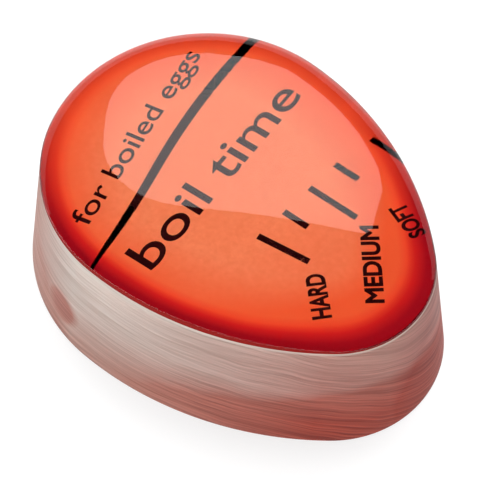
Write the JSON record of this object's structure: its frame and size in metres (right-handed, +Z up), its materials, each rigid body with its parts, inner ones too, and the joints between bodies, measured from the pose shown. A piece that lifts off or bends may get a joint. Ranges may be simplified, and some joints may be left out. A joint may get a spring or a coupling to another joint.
{
  "type": "egg timer",
  "caption": "Colour-changing timer for boiled eggs: an egg-shaped clear resin block with a sanded wall and a glossy domed top over a red dial with a scale from hard to soft.",
  "frame": {"origin": "middle of the flat underside, on the surface the timer rests on", "axes": "+Z up, out of the domed top; +Y along the egg's long axis towards the blunt end; +X to the right when the scale is read"},
  "size_m": [0.0446, 0.0572, 0.0206],
  "materials": {
    "sanded_resin": "clear resin with a sanded, frosted wall",
    "clear_resin": "clear, glossy as moulded",
    "colour_change_red": "matt, colour-changing, shown cold",
    "black_ink": "printed"
  },
  "bodies": {
    "root": {"body_casting": "sanded_resin", "colour_disc": "colour_change_red", "scale_ticks": "black_ink", "divider_line": "black_ink", "lens_dome": "clear_resin"}
  },
  "joints": []
}
